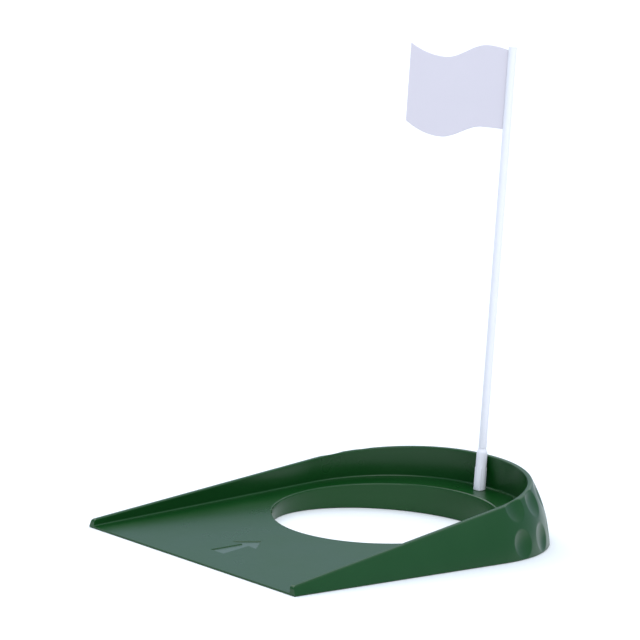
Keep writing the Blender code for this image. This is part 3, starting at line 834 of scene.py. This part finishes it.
class PUTTINGCUP_OT_ferrule(bpy.types.Operator):
    """Turn the white foot with its cone, ribs, peg and bore"""
    bl_idname = "putting_cup.ferrule"
    bl_label = "Foot Ferrule"

    def execute(self, context):
        settings = context.scene.putting_cup
        stick, shape = settings.stick, BaseShape(settings.base)
        material = stick_white(settings.finish)
        ledge = shape.ramp(POLE_MIDDLE.y + shape.middle)
        foot = ledge + SEAT_GAP
        top, r = FERRULE_HIGH.z, stick.collar_radius
        mouth = stick.top_radius
        profile = [(0.0, top), (mouth - 0.00016, top), (mouth - 0.00005, top - 0.00005),
                   (mouth, top - 0.00016)]
        drop = top - stick.shoulder
        for i in range(1, 13):
            share = i / 12.0
            ease = share * share * (3.0 - 2.0 * share)
            profile.append((mouth + (r - mouth) * ease, top - 0.00016 - (drop - 0.00016) * share))
        profile += [(r, height * MM) for height in range(30, 16, -2)]
        for a in quarter(4):
            profile.append((r - 0.0003 * (1.0 - math.cos(a)), foot + 0.0003 * (1.0 - math.sin(a))))
        peg = stick.peg_radius
        profile += [(peg + 0.0001, foot), (peg, foot - 0.0001), (peg, foot - 0.001),
                    (peg, FERRULE_LOW.z + 0.0005), (peg - 0.0005, FERRULE_LOW.z), (0.0, FERRULE_LOW.z)]
        axis = Matrix.Translation((0.0, POLE_MIDDLE.y, 0.0))
        ferrule = turned("foot_ferrule", profile, 96, axis)
        slope = settings.base.ramp_slope
        lean_foot(ferrule.data, slope, foot, foot - 0.0005)
        low = foot + 0.0001
        tree = foot_rib_tree(material)
        values = {"Rib Radius": stick.rib_width / 2.0, "Rib Length": stick.rib_height - low,
                  "Rib Middle": (stick.rib_height + low) / 2.0,
                  "Reach": r + stick.rib_proud - stick.rib_width / 2.0,
                  "Turn": math.radians(45.0), "Centre Y": POLE_MIDDLE.y, "Ribs": stick.ribs}
        ribs = link_mesh("ribs_solid", grown("ribs_solid", tree, values), "workshop")
        lean_foot(ribs.data, slope, low, 0.0)
        carved(ferrule, [ribs], "UNION")
        gap = stick.fit_gap
        seat = top - stick.spigot_length - gap
        hole = [(0.0, top + 0.002), (stick.spigot_radius + gap, top + 0.002),
                (stick.spigot_radius + gap, seat), (0.0, seat)]
        bore = turned("ferrule_bore", hole, 64, axis)
        carved(ferrule, [bore])
        drop_objects([ribs, bore])
        finish_piece(ferrule, material, "foot", "pole_ferrule")
        return {"FINISHED"}


def flag_place(flag, height):
    """A frame on the pole's axis: X along the flag, Y up, Z across its thickness."""
    turn = Matrix.Rotation(math.pi + flag.turn, 4, "Z")
    stand = Matrix.Rotation(math.pi / 2.0, 4, "X")
    return Matrix.Translation((0.0, POLE_MIDDLE.y, height)) @ turn @ stand


class PUTTINGCUP_OT_pole(bpy.types.Operator):
    """Turn the pole with its rounded top, thin spigot and groove for the flag"""
    bl_idname = "putting_cup.pole"
    bl_label = "Flag Pole"

    def execute(self, context):
        settings = context.scene.putting_cup
        stick, flag = settings.stick, settings.flag
        material = bpy.data.materials.get("moulded_white") or stick_white(settings.finish)
        top, r, edge = POLE_HIGH.z, stick.pole_radius, stick.end_round
        shoulder = FERRULE_HIGH.z + SHOULDER_GAP
        profile = [(0.0, top), ((r - edge) * 0.6, top)]
        for a in reversed(quarter(6)):
            profile.append((r - edge * (1.0 - math.cos(a)), top - edge * (1.0 - math.sin(a))))
        length = top - edge - shoulder
        profile += [(r, top - edge - length * i / 48.0) for i in range(1, 48)]
        spigot, low = stick.spigot_radius, POLE_LOW.z
        profile += [(r, shoulder + 0.0001), (r - 0.0001, shoulder), (spigot, shoulder),
                    (spigot, low + 0.0003), (spigot - 0.0003, low), (0.0, low)]
        pole = turned("flag_pole_rod", profile, 72, Matrix.Translation((0.0, POLE_MIDDLE.y, 0.0)))
        bm = bmesh.new()
        bmesh.ops.create_cube(bm, size=1.0)
        width = flag.thickness + 2.0 * stick.fit_gap
        height = flag.side_height + 2.0 * stick.fit_gap
        fit = Matrix.Diagonal((0.004, height, width, 1.0))
        out = Matrix.Translation((r - flag.groove_depth + 0.002, 0.0, 0.0))
        place = flag_place(flag, flag.bottom + flag.side_height / 2.0) @ out @ fit
        groove = link_mesh("groove_space", mesh_of("groove_space", bm, place), "workshop")
        carved(pole, [groove])
        drop_objects([groove])
        finish_piece(pole, material, "flagstick", "flag_pole")
        return {"FINISHED"}


def wavy_flag_tree(material):
    """A flat sheet whose upper and lower edges follow one crest and one trough."""
    names = ["Near", "Far", "Clear", "Side Height", "Crest Reach", "Trough Reach", "Top Crest",
             "Top Trough", "Bottom Crest", "Bottom Trough"]
    tree, f = new_tree("Wavy Flag", names, ["Steps", "Rows"])
    sheet, column, row = sheet_grid(tree, f["Steps"] + 1.0, f["Rows"] + 1.0)
    reach = f["Near"] + (f["Far"] - f["Near"]) * column / f["Steps"]
    at = reach.high(f["Clear"])
    rise = ((f["Crest Reach"] - at) / (f["Crest Reach"] - f["Clear"])).high(0.0).low(1.0)
    fall = ((at - f["Crest Reach"]) / (f["Trough Reach"] - f["Crest Reach"])).high(0.0).low(1.0)
    tail = ((at - f["Trough Reach"]) / (f["Far"] - f["Trough Reach"])).high(0.0).low(1.0)
    swing = ((fall * math.pi).cos() + 1.0) * 0.5

    def edge(crest, trough):
        return (crest + trough) * swing - trough - crest * rise * rise + trough * tail * tail

    low = edge(f["Bottom Crest"], f["Bottom Trough"])
    high = edge(f["Top Crest"], f["Top Trough"]) + f["Side Height"]
    place = vector(tree, reach, low + (high - low) * (row / f["Rows"]), 0.0)
    end_tree(tree, moved(tree, sheet, place), material)
    return tree


class PUTTINGCUP_OT_flag(bpy.types.Operator):
    """Cut the flag with its wavy edges and round them off"""
    bl_idname = "putting_cup.flag"
    bl_label = "Flag"

    def execute(self, context):
        settings = context.scene.putting_cup
        stick, flag = settings.stick, settings.flag
        material = flag_white(settings.finish)
        near = stick.pole_radius - flag.groove_depth + stick.fit_gap
        tree = wavy_flag_tree(material)
        values = {"Near": near, "Far": flag.reach, "Clear": stick.pole_radius + stick.fit_gap,
                  "Side Height": flag.side_height, "Crest Reach": flag.crest_reach,
                  "Trough Reach": flag.trough_reach, "Top Crest": flag.top_crest,
                  "Top Trough": flag.top_trough, "Bottom Crest": flag.bottom_crest,
                  "Bottom Trough": flag.bottom_trough, "Steps": 120, "Rows": 60}
        mesh = grown("flag_sheet_cut", tree, values)
        bm = bmesh.new()
        bm.from_mesh(mesh)
        bmesh.ops.recalc_face_normals(bm, faces=bm.faces)
        bm.to_mesh(mesh)
        bm.free()
        sheet = link_mesh("flag_sheet_cut", mesh)
        solid = sheet.modifiers.new("sheet", "SOLIDIFY")
        solid.thickness = flag.thickness
        solid.offset = 0.0
        solid.use_even_offset = True
        bevel = sheet.modifiers.new("edges", "BEVEL")
        bevel.width = flag.edge_round
        bevel.segments = 3
        bevel.limit_method = "ANGLE"
        bevel.angle_limit = math.radians(50.0)
        made = evaluated_mesh(sheet)
        sheet.modifiers.clear()
        sheet.data = made
        made.transform(flag_place(flag, flag.bottom))
        finish_piece(sheet, material, "flagstick", "flag")
        return {"FINISHED"}


# ------------------------------------------------------------------ the stage
def sky_direction(azimuth, elevation):
    """From the object towards a place in the sky; azimuth 0 is straight in front, 90 the right."""
    return Vector((math.sin(azimuth) * math.cos(elevation), -math.cos(azimuth) * math.cos(elevation),
                   math.sin(elevation)))


def soft_light(name, azimuth, elevation, strength, softness):
    """A wide, even light that reaches the whole floor."""
    light = bpy.data.lights.new(name, "SUN")
    light.energy = strength
    light.angle = softness
    ob = bpy.data.objects.new(name, light)
    towards = sky_direction(math.radians(azimuth), math.radians(elevation))
    ob.location = towards * 2.0
    ob.rotation_mode = "QUATERNION"
    ob.rotation_quaternion = towards.to_track_quat("Z", "Y")
    collection("stage").objects.link(ob)


class PUTTINGCUP_OT_stage(bpy.types.Operator):
    """Set the pale floor, the soft lights and the camera"""
    bl_idname = "putting_cup.stage"
    bl_label = "Stage"

    def execute(self, context):
        settings = context.scene.putting_cup.stage
        bm = bmesh.new()
        reach, rings = settings.floor_reach, []
        for share in (0.001, 0.01, 0.1, 1.0):
            half = reach * share
            corners = ((-half, -half), (half, -half), (half, half), (-half, half))
            rings.append([bm.verts.new((x, y, FLOOR_LEVEL)) for x, y in corners])
        bm.faces.new(rings[0])
        for small, large in zip(rings, rings[1:]):
            for i in range(4):
                bm.faces.new((small[i], large[i], large[(i + 1) % 4], small[(i + 1) % 4]))
        floor = link_mesh("pale_floor", mesh_of("pale_floor", bm), "stage")
        paint = bpy.data.materials.new("floor_paint")
        paint.use_nodes = True
        shader = paint.node_tree.nodes["Principled BSDF"]
        shader.inputs["Base Color"].default_value = settings.floor
        shader.inputs["Roughness"].default_value = 0.9
        floor.data.materials.append(paint)
        world = bpy.data.worlds.new("pale_surround")
        world.use_nodes = True
        sky = world.node_tree.nodes["Background"]
        sky.inputs["Color"].default_value = settings.surround
        sky.inputs["Strength"].default_value = settings.surround_level
        context.scene.world = world
        for name, azimuth, elevation, strength in (
                ("camera_softbox", 47.0, 45.0, settings.camera_side),
                ("left_softbox", -90.0, 45.0, settings.left_side),
                ("right_softbox", 100.0, 45.0, settings.right_side),
                ("back_softbox", 200.0, 40.0, settings.far_side)):
            soft_light(name, azimuth, elevation, strength, settings.softness)
        context.scene.view_settings.view_transform = "Standard"
        self.camera(context, settings)
        return {"FINISHED"}

    def camera(self, context, settings):
        data = bpy.data.cameras.new("camera")
        data.sensor_width = 36.0
        data.lens = settings.lens
        data.clip_start, data.clip_end = 0.01, 2000.0
        ob = bpy.data.objects.new("camera", data)
        a, e, roll = settings.azimuth, settings.elevation, settings.roll
        back = sky_direction(a, e)
        right = (-back).cross(Vector((0.0, 0.0, 1.0))).normalized()
        up = right.cross(-back)
        across = right * math.cos(roll) + up * math.sin(roll)
        high = up * math.cos(roll) - right * math.sin(roll)
        target = Vector((settings.target_x, settings.target_y, settings.target_z))
        place = Matrix((across, high, back)).transposed().to_4x4()
        ob.matrix_world = Matrix.Translation(target + back * settings.distance) @ place
        collection("stage").objects.link(ob)
        context.scene.camera = ob


# ------------------------------------------------------------------ panel and registration
class PUTTINGCUP_PT_panel(bpy.types.Panel):
    """Sidebar panel with the pieces and their sizes"""
    bl_idname = "PUTTINGCUP_PT_panel"
    bl_label = "Putting Cup"
    bl_space_type = "VIEW_3D"
    bl_region_type = "UI"
    bl_category = "Putting Cup"

    def draw(self, context):
        settings = context.scene.putting_cup
        for operator in OPERATORS:
            self.layout.operator(operator.bl_idname)
        for label in ("base", "dimples", "arrow", "stick", "flag", "finish", "stage"):
            group = getattr(settings, label)
            box = self.layout.box()
            box.label(text=label.title())
            for name in group.__annotations__:
                box.prop(group, name)


OPERATORS = (PUTTINGCUP_OT_base, PUTTINGCUP_OT_ferrule, PUTTINGCUP_OT_pole, PUTTINGCUP_OT_flag,
             PUTTINGCUP_OT_stage)
CLASSES = (PUTTINGCUP_PG_base, PUTTINGCUP_PG_dimples, PUTTINGCUP_PG_arrow, PUTTINGCUP_PG_stick,
           PUTTINGCUP_PG_flag, PUTTINGCUP_PG_finish, PUTTINGCUP_PG_stage, PUTTINGCUP_PG_settings,
           *OPERATORS, PUTTINGCUP_PT_panel)


def register():
    for cls in CLASSES:
        bpy.utils.register_class(cls)
    bpy.types.Scene.putting_cup = PointerProperty(type=PUTTINGCUP_PG_settings)


def unregister():
    del bpy.types.Scene.putting_cup
    for cls in reversed(CLASSES):
        bpy.utils.unregister_class(cls)


def main():
    register()
    bpy.ops.putting_cup.base()
    bpy.ops.putting_cup.ferrule()
    bpy.ops.putting_cup.pole()
    bpy.ops.putting_cup.flag()
    bpy.ops.putting_cup.stage()


if __name__ == "__main__":
    main()
